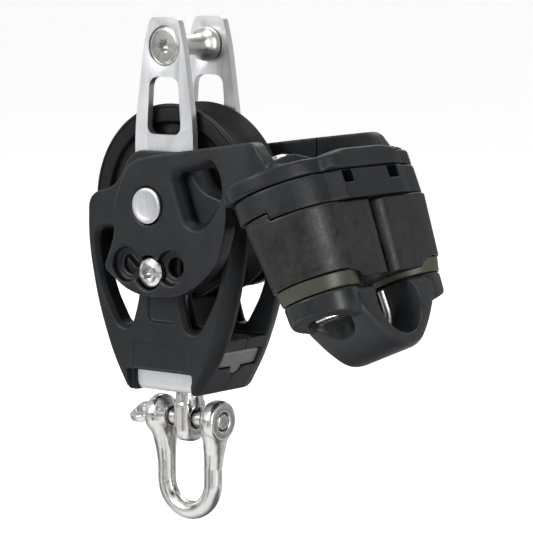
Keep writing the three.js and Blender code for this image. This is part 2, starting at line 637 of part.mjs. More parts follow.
// ---- swivel and shackle ----------------------------------------------------------------
const SWIVEL_FLANGE = STRAP_BOTTOM_Z - GAP;
function swivelPost() {
  const shank = turned('z', [
    [0, -60], [POST_R, -60], [4.6, -57.4], [4.6, SWIVEL_FLANGE], [POST_R, SWIVEL_FLANGE],
    [POST_R, -49.2], [0, -49.2],
  ], 20);
  const eyeShape = rounded([[-5, -57.5, 1], [5, -57.5, 1], [5, -70.3, 4.4], [-5, -70.3, 4.4]]);
  const eye = extrude(eyeShape, 'x', -2.6, 2.6, { size: 0.7 });
  return cut(join(shank, eye), rod('x', PIN_BORE_R, -REACH, REACH, [0, 0, PIN_Z]));
}
add('swivel_post', swivelPost(), POLISHED);
add('swivel_nut', cut(rod('z', 5.4, -51.2, -49.4, [0, 0, 0], 6), rod('z', POST_R + GAP, -REACH, 0)), BRUSHED);
add('swivel_washer', turned('z', [[3.4, -52.1], [6.8, -52.1], [6.8, -51.5], [3.4, -51.5]]), WHITE_ACETAL);

function shackleBow() {
  const path = new THREE.CurvePath();
  const top = PIN_Z - 4;
  const legs = new THREE.EllipseCurve(0, BOW_Z, LEG_X, LEG_X, Math.PI, 2 * Math.PI);
  const points = [new THREE.Vector3(-LEG_X, 0, top)];
  for (const point of legs.getPoints(12)) points.push(new THREE.Vector3(point.x, 0, point.y));
  points.push(new THREE.Vector3(LEG_X, 0, top));
  for (let i = 1; i < points.length; i += 1) path.add(new THREE.LineCurve3(points[i - 1], points[i]));
  const ears = SIDES.map(([, side]) => {
    const [from, to] = side < 0 ? [-EAR_OUT, -EAR_IN] : [EAR_IN, EAR_OUT];
    return rod('x', EAR_R, from, to, [0, 0, PIN_Z], 24);
  });
  return cut(join(tube(path, ROD_R, 14, 12), ...ears), rod('x', PIN_BORE_R, -REACH, REACH, [0, 0, PIN_Z]));
}
add('shackle_bow', shackleBow(), POLISHED);

function shacklePin() {
  const shaft = turned('x', [
    [0, -14.6], [2.4, -14.6], [3.8, -13.8], [3.8, -EAR_OUT - GAP], [PIN_R, -EAR_OUT - GAP],
    [PIN_R, EAR_OUT], [0, EAR_OUT],
  ], 20, [0, 0, PIN_Z]);
  const wing = rounded([
    [-13.6, -2, 1], [-14.8, -4.4, 1.6], [-19.4, -4.2, 3.4], [-19.4, 4.2, 3.4], [-14.8, 4.4, 1.6], [-13.6, 2, 1],
  ]);
  wing.holes.push(circle(1.4, -16.8, 0));
  const grip = extrude(wing, 'z', -1.1, 1.1, { size: 0.4 }).rotate([25, 0, 0]).translate([0, 0, PIN_Z]);
  return join(shaft, grip);
}
add('shackle_pin', shacklePin(), POLISHED);

export default block;
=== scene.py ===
"""Looks of the single sheave block with becket, shackle and cam cleat arm.

Shapes are drawn in millimetres about the axle centre, or upright about the cleat's base
plane, and placed in the frame in metres by detail().
"""

import json
from math import copysign, cos, pi, radians, sin

import bmesh
import bpy
from mathutils import Matrix, Vector


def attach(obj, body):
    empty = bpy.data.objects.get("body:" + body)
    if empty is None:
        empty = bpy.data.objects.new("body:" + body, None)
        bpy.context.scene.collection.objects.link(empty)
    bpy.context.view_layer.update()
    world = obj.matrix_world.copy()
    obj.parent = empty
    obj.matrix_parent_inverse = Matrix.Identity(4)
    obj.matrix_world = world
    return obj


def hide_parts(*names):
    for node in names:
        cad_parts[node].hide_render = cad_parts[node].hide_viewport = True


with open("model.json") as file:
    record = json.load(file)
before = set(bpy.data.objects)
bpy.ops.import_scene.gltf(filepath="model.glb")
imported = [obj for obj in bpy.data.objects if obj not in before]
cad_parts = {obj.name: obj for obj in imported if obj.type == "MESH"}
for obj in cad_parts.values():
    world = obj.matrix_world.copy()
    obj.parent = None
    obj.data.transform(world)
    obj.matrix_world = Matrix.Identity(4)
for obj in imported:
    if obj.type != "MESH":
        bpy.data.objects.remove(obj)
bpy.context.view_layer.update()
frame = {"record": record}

MM = 0.001
AXLE = Matrix.Translation((0, 0, -45))
CLEAT = Matrix.Translation((52, 0, -42.9)) @ Matrix.Rotation(-radians(23), 4, "Y")
BODY = {node: body for body, nodes in frame["record"]["behaviour"]["bodies"].items() for node in nodes}
SIDES = (("near", -1), ("far", 1))
REACH = 60  # beyond every shape, for tools that cut right through


# ---- shape helpers ---------------------------------------------------------------------
def new_object(name, verts, faces):
    mesh = bpy.data.meshes.new(name)
    mesh.from_pydata(verts, [], faces)
    shape = bmesh.new()
    shape.from_mesh(mesh)
    bmesh.ops.remove_doubles(shape, verts=shape.verts, dist=1e-4)
    bmesh.ops.recalc_face_normals(shape, faces=shape.faces)
    shape.to_mesh(mesh)
    shape.free()
    obj = bpy.data.objects.new(name, mesh)
    bpy.context.scene.collection.objects.link(obj)
    return obj


def bake(obj):
    graph = bpy.context.evaluated_depsgraph_get()
    mesh = bpy.data.meshes.new_from_object(obj.evaluated_get(graph))
    obj.modifiers.clear()
    obj.data = mesh
    return obj


def csg(kind, base, *tools):
    for tool in tools:
        step = base.modifiers.new("csg", "BOOLEAN")
        step.operation = kind
        step.object = tool
        step.solver = "MANIFOLD"
    bake(base)
    for tool in tools:
        bpy.data.objects.remove(tool)
    return base


def cut(base, *tools):
    return csg("DIFFERENCE", base, *tools)


def join(base, *tools):
    return csg("UNION", base, *tools)


def clip(base, *tools):
    return csg("INTERSECT", base, *tools)


def copy(obj, matrix=Matrix.Identity(4)):
    twin = bpy.data.objects.new(obj.name, obj.data.copy())
    twin.data.transform(matrix)
    if matrix.determinant() < 0:
        twin.data.flip_normals()
    bpy.context.scene.collection.objects.link(twin)
    return twin


def mirrored(obj, axis="Y"):
    scale = [1, 1, 1]
    scale["XYZ".index(axis)] = -1
    return copy(obj, Matrix.Diagonal((*scale, 1)))


def on_side(obj, side):
    """The shape itself on the near side, or its mirror image on the far side."""
    if side < 0:
        return obj
    twin = mirrored(obj)
    bpy.data.objects.remove(obj)
    return twin


def outline(corners, symmetric=False, steps=6):
    """Corners (u, v, fillet reach) as a closed run of points."""
    corners = [(*corner, 0)[:3] for corner in corners]
    if symmetric:
        corners = corners + [(-u, v, reach) for u, v, reach in reversed(corners)]
    points = []
    for i, (u, v, reach) in enumerate(corners):
        corner = Vector((u, v))
        before = Vector(corners[i - 1][:2]) - corner
        after = Vector(corners[(i + 1) % len(corners)][:2]) - corner
        reach = min(reach, 0.48 * before.length, 0.48 * after.length)
        if reach <= 0:
            points.append(corner)
            continue
        start = corner + before.normalized() * reach
        end = corner + after.normalized() * reach
        for k in range(steps + 1):
            t = k / steps
            points.append(start * (1 - t) ** 2 + corner * 2 * t * (1 - t) + end * t * t)
    return points


def round_outline(radius, at=(0, 0), sides=64, start=0.0, end=2 * pi):
    closed = abs(end - start) > 6.28
    count = sides if closed else sides + 1
    turn = (end - start) / sides
    return [Vector((at[0] + radius * cos(start + turn * k), at[1] + radius * sin(start + turn * k)))
            for k in range(count)]


def inset(points, distance):
    """The outline moved inwards by a distance, or outwards by a negative one."""
    area = sum(a.cross(b) for a, b in zip(points, points[1:] + points[:1]))
    sign = 1 if area > 0 else -1
    moved = []
    for i, point in enumerate(points):
        into = (point - points[i - 1]).normalized()
        out = (points[(i + 1) % len(points)] - point).normalized()
        across = (Vector((-into.y, into.x)) + Vector((-out.y, out.x))).normalized()
        stretch = max(0.5, across.dot(Vector((-into.y, into.x))))
        moved.append(point + across * sign * distance / stretch)
    return moved


PLACE = {
    "x": lambda u, v, along: (along, u, v),
    "y": lambda u, v, along: (u, along, v),
    "z": lambda u, v, along: (u, v, along),
}


def loft(rings, axis):
    """A closed solid through outlines of the same point count: [(place along the axis, points)]."""
    verts = []
    faces = []
    count = len(rings[0][1])
    for along, points in rings:
        verts += [PLACE[axis](point[0], point[1], along) for point in points]
    for level in range(len(rings) - 1):
        low = level * count
        for i in range(count):
            j = (i + 1) % count
            faces.append((low + i, low + j, low + count + j, low + count + i))
    faces.append(tuple(range(count)))
    faces.append(tuple(range((len(rings) - 1) * count, len(rings) * count)))
    return new_object("shape", verts, faces)


def prism(points, axis, start, end, edge=0.0):
    """An extruded outline; edge rounds both ends with a small radius."""
    if edge <= 0:
        return loft([(start, points), (end, points)], axis)
    rings = []
    for degrees in (0, 30, 60, 90):
        angle = radians(degrees)
        rings.append((start + edge * (1 - sin(angle)), inset(points, edge * (1 - cos(angle)))))
    rings.reverse()
    for degrees in (0, 30, 60, 90):
        angle = radians(degrees)
        rings.append((end - edge * (1 - sin(angle)), inset(points, edge * (1 - cos(angle)))))
    return loft(rings, axis)


def rod(axis, radius, start, end, at=(0, 0), sides=48, edge=0.0):
    return prism(round_outline(radius, at, sides), axis, start, end, edge)


def box(x, y, z):
    corners = [(x[0], y[0]), (x[1], y[0]), (x[1], y[1]), (x[0], y[1])]
    return prism([Vector(corner) for corner in corners], "z", z[0], z[1])


def turned(axis, profile, sides=72, at=(0, 0, 0), steps=4):
    """A turned piece from a closed profile of (radius, place along the axis, fillet reach)."""
    run = outline(profile, steps=steps)
    verts = []
    faces = []
    for k in range(sides):
        angle = 2 * pi * k / sides
        for radius, along in run:
            u, v, w = PLACE[axis](radius * cos(angle), radius * sin(angle), along)
            verts.append((u + at[0], v + at[1], w + at[2]))
    count = len(run)
    for k in range(sides):
        here, there = k * count, (k + 1) % sides * count
        for i in range(count):
            j = (i + 1) % count
            faces.append((here + i, here + j, there + j, there + i))
    return new_object("turned", verts, faces)


def tube(path, radius, sides=24):
    """A round bar along a run of points, with flat ends."""
    path = [Vector(point) for point in path]
    verts = []
    faces = []
    normal = None
    for i, point in enumerate(path):
        ahead = (path[min(i + 1, len(path) - 1)] - path[max(i - 1, 0)]).normalized()
        if normal is None:
            normal = ahead.orthogonal().normalized()
        normal = (normal - ahead * normal.dot(ahead)).normalized()
        across = ahead.cross(normal)
        for k in range(sides):
            angle = 2 * pi * k / sides
            verts.append(point + (normal * cos(angle) + across * sin(angle)) * radius)
    for i in range(len(path) - 1):
        for k in range(sides):
            j = (k + 1) % sides
            a, b = i * sides, (i + 1) * sides
            faces.append((a + k, a + j, b + j, b + k))
    faces.append(tuple(range(sides)))
    faces.append(tuple(range((len(path) - 1) * sides, len(path) * sides)))
    return new_object("tube", verts, faces)


def star(radius, at=(0, 0), lobes=6):
    """Outline of a six-lobed driver socket."""
    points = []
    for k in range(48):
        angle = 2 * pi * k / 48
        r = radius * (0.86 + 0.14 * cos(lobes * angle))
        points.append(Vector((at[0] + r * cos(angle), at[1] + r * sin(angle))))
    return points


def moulded(obj, voxel=0.4, passes=4, keep=0.4):
    """Rounds every edge as a mould does, by remeshing finely and smoothing."""
    remesh = obj.modifiers.new("remesh", "REMESH")
    remesh.mode = "VOXEL"
    remesh.voxel_size = voxel
    smooth = obj.modifiers.new("smooth", "SMOOTH")
    smooth.factor = 0.5
    smooth.iterations = passes
    if keep < 1:
        thin = obj.modifiers.new("thin", "DECIMATE")
        thin.ratio = keep
    return bake(obj)


def crisp(obj, width=0.3, segments=3):
    """A small machined radius on every sharp edge."""
    bevel = obj.modifiers.new("bevel", "BEVEL")
    bevel.width = width
    bevel.segments = segments
    bevel.limit_method = "ANGLE"
    bevel.angle_limit = radians(38)
    return bake(obj)


# ---- materials -------------------------------------------------------------------------
class Nodes:
    """A small wrapper that adds shader nodes and links them."""

    def __init__(self, name):
        self.material = bpy.data.materials.new(name)
        self.material.use_nodes = True
        self.tree = self.material.node_tree
        self.shader = self.tree.nodes["Principled BSDF"]
        self.coordinate = self.tree.nodes.new("ShaderNodeTexCoord").outputs["Object"]

    def link(self, source, target):
        self.tree.links.new(source, target)

    def noise(self, scale, detail=4.0, stretch=(1, 1, 1), rough=0.55):
        mapping = self.tree.nodes.new("ShaderNodeMapping")
        mapping.inputs["Scale"].default_value = stretch
        self.link(self.coordinate, mapping.inputs["Vector"])
        node = self.tree.nodes.new("ShaderNodeTexNoise")
        node.inputs["Scale"].default_value = scale
        node.inputs["Detail"].default_value = detail
        node.inputs["Roughness"].default_value = rough
        self.link(mapping.outputs["Vector"], node.inputs["Vector"])
        return node.outputs["Fac"]

    def spread(self, value, low, high, to_low=0.0, to_high=1.0):
        node = self.tree.nodes.new("ShaderNodeMapRange")
        self.link(value, node.inputs["Value"])
        for key, number in (("From Min", low), ("From Max", high), ("To Min", to_low), ("To Max", to_high)):
            node.inputs[key].default_value = number
        return node.outputs["Result"]

    def mix(self, factor, first, second):
        node = self.tree.nodes.new("ShaderNodeMix")
        node.data_type = "RGBA"
        self.link(factor, node.inputs[0])
        for socket, value in ((node.inputs[6], first), (node.inputs[7], second)):
            if isinstance(value, tuple):
                socket.default_value = (*value, 1)
            else:
                self.link(value, socket)
        return node.outputs[2]

    def maths(self, kind, first, second):
        node = self.tree.nodes.new("ShaderNodeMath")
        node.operation = kind
        for socket, value in zip(node.inputs, (first, second)):
            if isinstance(value, (int, float)):
                socket.default_value = value
            else:
                self.link(value, socket)
        return node.outputs[0]

    def edges(self, low=0.52, high=0.6):
        """1 on convex edges, 0 on flats."""
        geometry = self.tree.nodes.new("ShaderNodeNewGeometry")
        return self.spread(geometry.outputs["Pointiness"], low, high)

    def bump(self, height, distance, strength=1.0, under=None):
        node = self.tree.nodes.new("ShaderNodeBump")
        node.inputs["Distance"].default_value = distance
        node.inputs["Strength"].default_value = strength
        self.link(height, node.inputs["Height"])
        if under is not None:
            self.link(under, node.inputs["Normal"])
        return node.outputs["Normal"]


def plastic(name, dark, light, worn_and_lit_edge, rough, grain=0.35, grain_size=0.35, mottle=0.5, gloss=0.3,
            vary=1.0):
    """Moulded plastic: fine grain, cloudy tone, and paler, smoother convex edges, partly edge wear and
    partly painted highlight.
    """
    n = Nodes(name)
    fine = n.noise(1000 / grain_size, 3)
    cloud = n.noise(90, 5)
    patch = n.noise(420, 4, rough=0.7)
    tone = n.maths("ADD", n.maths("MULTIPLY", cloud, 1 - mottle), n.maths("MULTIPLY", patch, mottle))
    body = n.mix(n.spread(tone, 0.36, 0.64), dark, light)
    # painted highlight: the paler colour on convex edges is partly wear and partly stands in for light
    # caught along the edges
    wear_and_highlight = n.maths("MULTIPLY", n.edges(), n.spread(patch, 0.35, 0.65))
    n.link(n.mix(wear_and_highlight, body, worn_and_lit_edge), n.shader.inputs["Base Color"])
    matt = n.spread(n.maths("ADD", tone, n.maths("MULTIPLY", fine, 0.4)), 0.45, 0.95,
                    rough - 0.07 * vary, rough + 0.1 * vary)
    n.link(n.maths("SUBTRACT", matt, n.maths("MULTIPLY", wear_and_highlight, 0.1)), n.shader.inputs["Roughness"])
    n.link(n.bump(fine, 0.00003, grain, n.bump(patch, 0.00006, grain)), n.shader.inputs["Normal"])
    n.shader.inputs["Specular IOR Level"].default_value = gloss
    return n.material


def metal(name, dark, light, rough, stretch=(1, 1, 0.03), grain=0.3, grain_scale=2600):
    """Metal with a directional grain, cloudy tone and brighter rubbed edges."""
    n = Nodes(name)
    lines = n.noise(grain_scale, 3, stretch)
    cloud = n.noise(60, 4)
    scratches = n.noise(500, 2, (1, 1, 0.15))
    tone = n.maths("ADD", n.maths("MULTIPLY", lines, 0.45), n.maths("MULTIPLY", cloud, 0.55))
    body = n.mix(n.spread(tone, 0.36, 0.64), dark, light)
    bright = tuple(min(1, channel * 1.12) for channel in light)
    n.link(n.mix(n.maths("MULTIPLY", n.edges(), 0.7), body, bright), n.shader.inputs["Base Color"])
    n.link(n.spread(tone, 0.35, 0.65, rough - 0.06, rough + 0.08), n.shader.inputs["Roughness"])
    n.link(n.bump(lines, 0.00002, grain, n.bump(scratches, 0.00002, grain * 0.5)), n.shader.inputs["Normal"])
    n.shader.inputs["Metallic"].default_value = 1
    return n.material


MATERIALS = {
    "brushed_stainless": metal("brushed_stainless", (0.52, 0.53, 0.545), (0.61, 0.62, 0.635), 0.36,
                               grain=0.18),
    "polished_stainless": metal("polished_stainless", (0.5, 0.497, 0.485), (0.62, 0.615, 0.6), 0.17,
                                (1, 1, 1), 0.12, 700),
    "ball_steel": metal("ball_steel", (0.6, 0.6, 0.6), (0.75, 0.75, 0.75), 0.1, (1, 1, 1), 0.05, 900),
    "moulded_nylon": plastic("moulded_nylon", (0.0028, 0.0036, 0.0046), (0.0085, 0.01, 0.0124),
                             (0.03, 0.033, 0.037), 0.44, gloss=0.3, vary=1.5),
    "cam_nylon": plastic("cam_nylon", (0.0012, 0.0014, 0.0018), (0.0125, 0.012, 0.0115),
                         (0.036, 0.033, 0.029), 0.42, 1.0, 0.45, 0.75, 0.36, 2.2),
    "fairlead_nylon": plastic("fairlead_nylon", (0.008, 0.009, 0.0105), (0.014, 0.0155, 0.018),
                              (0.034, 0.037, 0.042), 0.33, 0.25, 0.4, 0.3),
    "black_acetal": plastic("black_acetal", (0.002, 0.0022, 0.0027), (0.0045, 0.005, 0.006),
                            (0.018, 0.019, 0.022), 0.4, 0.15, 0.4, 0.3, 0.22),
    "white_acetal": plastic("white_acetal", (0.62, 0.61, 0.57), (0.74, 0.73, 0.69),
                            (0.8, 0.79, 0.76), 0.4, 0.15, 0.4, 0.3),
    "grey_alloy": metal("grey_alloy", (0.17, 0.175, 0.165), (0.25, 0.255, 0.24), 0.42,
                        (1, 1, 1), 0.35, 1400),
    "olive_anodised": plastic("olive_anodised", (0.026, 0.026, 0.015), (0.042, 0.041, 0.026),
                              (0.07, 0.068, 0.05), 0.42, 0.25, 0.4, 0.3, 0.5),
}
SLOT = {entry["node"]: entry["material_slot"] for entry in frame["record"]["subparts"]}


def shade(mesh, angle=36):
    mesh.polygons.foreach_set("use_smooth", [True] * len(mesh.polygons))
    mesh.set_sharp_from_angle(angle=radians(angle))


def detail(node, obj, space=AXLE, angle=36):
    """Places a finished shape in the frame in its CAD node's stead."""
    obj.data.transform(Matrix.Scale(MM, 4) @ space)
    obj.name = f"{node}_detail"
    obj.data.name = obj.name
    obj.data.materials.clear()
    obj.data.materials.append(MATERIALS[SLOT[node]])
    shade(obj.data, angle)
    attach(obj, BODY[node])
    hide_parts(node)
    return obj


# ---- load strap with becket ------------------------------------------------------------
STRAP_OUT = 11.2
STRAP_IN = 9
BECKET_Z = 45
STRAP_FOOT = -54.6
AXLE_BORE = 4.3
ARM_SCREW_Z = -19.15
PLATE = [
    (10.1, -44), (10.1, -38.5, 1.5), (7, -36.5, 1.5), (7, -2, 6), (10.7, 8, 6), (10.7, 22, 8),
    (7.3, 45.4, 8), (5.2, 53.1, 2),
]
SLOT_HALF = [(6.3, 19.75, 3), (5.2, 36.2, 3.2)]
FOOT = [
    (-STRAP_OUT, -40), (-STRAP_OUT, STRAP_FOOT, 3.7), (STRAP_OUT, STRAP_FOOT, 3.7), (STRAP_OUT, -40),
    (STRAP_IN, -40), (STRAP_IN, STRAP_FOOT + 2.2, 1.6), (-STRAP_IN, STRAP_FOOT + 2.2, 1.6), (-STRAP_IN, -40),
]


def load_strap():
    plates = []
    for start, end in ((-STRAP_OUT, -STRAP_IN), (STRAP_IN, STRAP_OUT)):
        plate = prism(outline(PLATE, True, 10), "y", start, end)
        slot = prism(outline(SLOT_HALF, True, 8), "y", start - 1, end + 1)
        plates.append(cut(plate, slot))
    foot = prism(outline(FOOT, steps=8), "x", -10.1, 10.1)
    strap = join(plates[0], plates[1], foot)
    head = turned("y", [
        (0, -STRAP_OUT - 1), (5.9, -STRAP_OUT - 1), (5.9, -STRAP_OUT), (5.65, -10.9), (5.65, -10.4),
        (4.2, -STRAP_IN), (4.2, 0), (0, 0),
    ], 56, (0, 0, BECKET_Z), 1)
    cut(
        strap, mirrored(head), head,
        rod("y", AXLE_BORE, -REACH, REACH),
        rod("y", 2.5, -REACH, REACH, (0, ARM_SCREW_Z)),
        rod("z", 3.3, -REACH, -50),
    )
    return crisp(strap, 0.35)


detail("load_strap", load_strap(), angle=13)

SPOOL = [
    (0, -8.7), (4.9, -8.7, 0.3), (4.9, -6.6, 1), (2.9, -4.2, 1.6), (2.9, 4.2, 1.6), (4.9, 6.6, 1),
    (4.9, 8.7, 0.3), (0, 8.7),
]
spool = cut(
    turned("y", SPOOL, 64, (0, 0, BECKET_Z), 6),
    rod("y", 2, -9, -3, (0, BECKET_Z)),
    rod("y", 2, 3, 9, (0, BECKET_Z)),
)
SATIN = metal("satin_stainless", (0.5, 0.485, 0.46), (0.6, 0.585, 0.56), 0.34, (1, 0.05, 1), 0.15, 1500)
detail("becket_spool", spool).data.materials[0] = SATIN

for place, side in SIDES:
    screw = turned("y", [
        (0, -STRAP_OUT), (4.6, -STRAP_OUT, 0.2), (5.45, -10.75, 0.1), (5.45, -10.5),
        (3.8, -9.1), (1.7, -9.1), (1.7, -4, 0.4), (0, -4),
    ], 64, (0, 0, BECKET_Z))
    screw = cut(screw, prism(star(2.2, (0, BECKET_Z)), "y", -REACH, -9.4))
    detail(f"becket_screw_{place}", on_side(screw, side), angle=28)


# ---- cheeks and head -------------------------------------------------------------------
CHEEK_OUT = 14.1
CHEEK_IN = 8.2
THROAT_Z = -38
CHEEK_FACE = [
    (11.1, -54.6), (17, -44.6, 8), (22.8, -29.5, 12), (26.3, -12, 8), (26.1, 1.6, 4), (15.4, 4.6, 4),
    (9.6, 15.2, 4.5),
]
CHEEK_WALL = [(u + (2.2 if v > -54 else 0.8), v, *reach) for u, v, *reach in CHEEK_FACE]
WINDOW = [
    (7.6, -8, 2.4), (7.8, -26, 5), (10.8, -35.6, 3), (14.5, -35.4, 3.4), (20.4, -25.6, 5), (23, -14, 4),
    (22.8, -8, 3),
]


def cheek():
    face = outline(CHEEK_FACE, True, 8)
    wall = outline(CHEEK_WALL, True, 8)
    rings = [(-CHEEK_OUT, inset(face, 0.35)), (-CHEEK_OUT + 0.12, face)]
    for depth, share in ((1.3, 0.4), (2.8, 0.78), (4.4, 1.0)):
        rings.append((-CHEEK_OUT + depth, [a.lerp(b, share) for a, b in zip(face, wall)]))
    rings.append((-0.15, wall))
    shell = loft(rings, "y")
    window = outline(WINDOW, steps=6)
    opening = loft([(-REACH, inset(window, -1.3)), (-CHEEK_OUT - 0.1, inset(window, -1.3)),
                    (-CHEEK_OUT + 1.5, window), (-CHEEK_IN + 1, window)], "y")
    tools = [
        box([-REACH, REACH], [-CHEEK_IN, REACH], [THROAT_Z, REACH]),
        box([-11, 11], [-STRAP_OUT - 0.3, 0], [-9, REACH]),
        box([-11, 11], [-STRAP_OUT - 0.3, -8.85], [-40, -8]),
        box([-10.4, 10.4], [-STRAP_OUT - 0.3, -STRAP_IN + 0.3], [-REACH, THROAT_Z + 1]),
        prism(outline([(11, -REACH), (12.3, -48.2, 0.8)], True), "y", -REACH, -STRAP_OUT),
        box([-10.4, 10.4], [-REACH, 1], [-REACH, STRAP_FOOT + 2.5]),
        box([-REACH, REACH], [-8.5, 1], [-46.6, -41.5]),
        rod("x", 2.6, -REACH, REACH, (0, -46.3)),
        rod("z", 7.4, STRAP_FOOT, -46.3),
        opening, mirrored(opening, "X"),
        rod("y", AXLE_BORE, -REACH, REACH),
        rod("y", 2.5, -REACH, -CHEEK_IN, (0, ARM_SCREW_Z)),
        prism(outline([(9.8, -48, 0.8), (9.8, -40.1, 1.2)], True), "y", -REACH, -CHEEK_OUT + 0.6),
        prism(outline([(-3.9, -2, 1), (-3.9, -33.8, 2.4), (7, -33.8, 2.4), (7, -2, 1)]), "y",
              -REACH, -CHEEK_OUT + 0.7),
    ]
    return moulded(cut(shell, *tools), 0.3, 2, 0.35)


for place, side in SIDES:
    detail(f"{place}_cheek", on_side(cheek(), side), angle=50)


def head_block():
    section = outline([(-8.2, -41.8, 1), (8.2, -41.8, 1), (8.2, -46.3, 1), (-8.2, -46.3, 1)])
    bar = join(prism(section, "x", -REACH, REACH), rod("x", 2.3, -REACH, REACH, (0, -46.3)))
    length = outline([(19, -41), (19, -42.5, 1), (15.8, -49)], True)
    bar = clip(bar, prism(length, "y", -REACH, REACH))
    cut(bar, rod("z", 3.3, -REACH, -47))
    return crisp(bar, 0.35)


detail("head_block", head_block(), angle=13)

# ---- axle, bearing and sheave ----------------------------------------------------------
AXLE_HALF = 19.6
HEAD_R = 5.15
detail("axle_pin", turned("y", [
    (0, -AXLE_HALF + 0.3), (3.2, -AXLE_HALF + 0.18, 1), (4.3, -AXLE_HALF, 0.5),
    (HEAD_R, -AXLE_HALF + 0.15, 0.5), (HEAD_R, -17.2), (4, -17.2), (4, 16.9), (2.2, 16.9), (2.2, 8), (0, 8),
], 96))
detail("axle_cap", turned("y", [
    (0, 9), (1.9, 9), (1.9, 17.2), (HEAD_R, 17.2), (HEAD_R, AXLE_HALF - 0.15, 0.5), (4.3, AXLE_HALF, 0.5),
    (3.2, AXLE_HALF - 0.18, 1), (0, AXLE_HALF - 0.3),
], 96))
detail("inner_race", turned("y", [
    (4.3, -8.2), (11, -8.2, 0.4), (11, -5.4, 0.4), (9.8, -4.4, 0.6), (9.8, 4.4, 0.6), (11, 5.4, 0.4),
    (11, 8.2, 0.4), (4.3, 8.2),
], 72))

cage = turned("y", [(12.1, -4.2, 0.3), (13.9, -4.2, 0.3), (13.9, 4.2, 0.3), (12.1, 4.2, 0.3)], 72)
BALLS = 10
for index in range(BALLS):
    pocket = rod("x", 3.1, 10, 16, (0, 0), 32)
    pocket.data.transform(Matrix.Rotation(2 * pi * index / BALLS, 4, "Y"))
    cut(cage, pocket)
detail("ball_cage", cage)

for index in range(BALLS):
    angle = 2 * pi * index / BALLS
    centre = (13 * cos(angle), 0, -13 * sin(angle))
    arc = [(2.78 * cos(radians(a)), 2.78 * sin(radians(a))) for a in range(-90, 91, 9)]
    detail(f"ball_{index + 1:02d}", turned("y", arc, 40, centre))

SHEAVE_R = 28.5
SHEAVE_HALF = 7.95


def sheave():
    side = [
        (16.1, -6.45), (22.6, -6.45, 0.6), (23.6, -SHEAVE_HALF, 0.4), (27.2, -SHEAVE_HALF, 0.1),
        (27.35, -SHEAVE_HALF + 0.25, 0.1), (27.5, -SHEAVE_HALF, 0.1), (28.1, -SHEAVE_HALF, 0.3),
        (SHEAVE_R, -SHEAVE_HALF + 0.35, 0.3), (SHEAVE_R, -6.95, 0.25),
    ]
    groove = [(21.5 + 5.6 * (y / 6.4) ** 2, y) for y in range(-6, 7)]
    other = [(corner[0], -corner[1], *corner[2:]) for corner in reversed(side)]
    return turned("y", side + groove + other, 144)


detail("sheave", sheave(), angle=40)

# ---- cam arms and cleat platform -------------------------------------------------------
ARM_IN = 14.4
ARM_OUT = 18.8
SEAM_X = 32.15
HOLE_STEP = 25.5
ARM = [
    (-12.6, -9.2, 2.5), (-16.6, -18.8, 2), (-6, -26, 8), (12, -26, 8), (27.6, -14.6, 8), (32.1, -4, 6),
    (32.1, 2, 0), (61.6, 2, 0), (49.8, 16.9, 1), (46.3, 20.6, 2), (28, 18.2, 6), (3, 14.6, 4),
    (-7.5, 12.5, 7), (-13.2, -1, 6),
]
ARM_OPENING = [
    (9.9, 9.4, 2.6), (15, -4.4, 3.4), (19.4, -4.4, 3.4), (28.4, 5.6, 3.2), (24.6, 12.1, 3.4),
]
PLAN = [
    (-REACH, -ARM_OUT), (22, -ARM_OUT, 8), (46.3, -30, 4), (REACH, -30), (REACH, -25.4), (46.3, -25.4, 4),
    (22.8, -ARM_IN, 8), (-REACH, -ARM_IN),
]
CAM_Y = 19
PLATFORM_FOOT = 5.9
PLATFORM_RIM = 10.4
PLATFORM_TOP = 11.6
BOSS_TOP = 13
SCREW_BORE = 2.8
NUT_TOP = -28.9
NUT_FOOT = -31.9


def twin_outline(radius, front, back, set_back, edge_half=6):
    """Two round ends behind the pivots, joined by straight sides."""
    near = round_outline(radius, (-set_back, -CAM_Y), 32, pi, 2 * pi)
    far = round_outline(radius, (-set_back, CAM_Y), 32, 0, pi)
    straight = CAM_Y - edge_half
    front_run = [Vector((front, -straight)), Vector((front, straight))]
    back_run = [Vector((-back, straight)), Vector((-back, -straight))]
    return near + front_run + far + back_run


def pivot_pair(radius, start, end):
    return [rod("z", radius, start, end, (0, side * CAM_Y)) for _, side in SIDES]


def arm_and_wall():
    """The near arm with its share of the platform wall, in axle space."""
    seen = prism(outline(ARM, steps=8), "y", -REACH, 0)
    shape = clip(seen, prism(outline(PLAN, steps=6), "z", -REACH, REACH))
    below = box([-12, REACH], [-REACH, 0], [-REACH, PLATFORM_FOOT])
    outside = box([4.6, REACH], [-REACH, 0], [-REACH, REACH])
    for tool in (below, outside):
        tool.data.transform(AXLE.inverted() @ CLEAT)
    clear_arm = box([SEAM_X, REACH], [-REACH, 0], [-REACH, REACH])
    tools = [clip(below, copy(clear_arm)), clip(outside, clear_arm)]
    opening = outline(ARM_OPENING, steps=6)
    tools.append(loft([(-REACH, inset(opening, -2.6)), (-ARM_OUT - 1.2, inset(opening, -2.6)),
                       (-ARM_OUT + 2.2, opening), (0, opening)], "y"))
    for degrees in (-HOLE_STEP, 0, HOLE_STEP):
        angle = radians(degrees)
        at = (ARM_SCREW_Z * sin(angle), ARM_SCREW_Z * cos(angle))
        tools.append(rod("y", 2.8, -REACH, 0, at))
        tools.append(rod("y", 5, -REACH, -16.2, at))
    tools.append(rod("y", HEAD_R + 0.3, -REACH, -16.9))
    tools.append(rod("y", AXLE_BORE, -REACH, 0))
    return cut(shape, *tools)


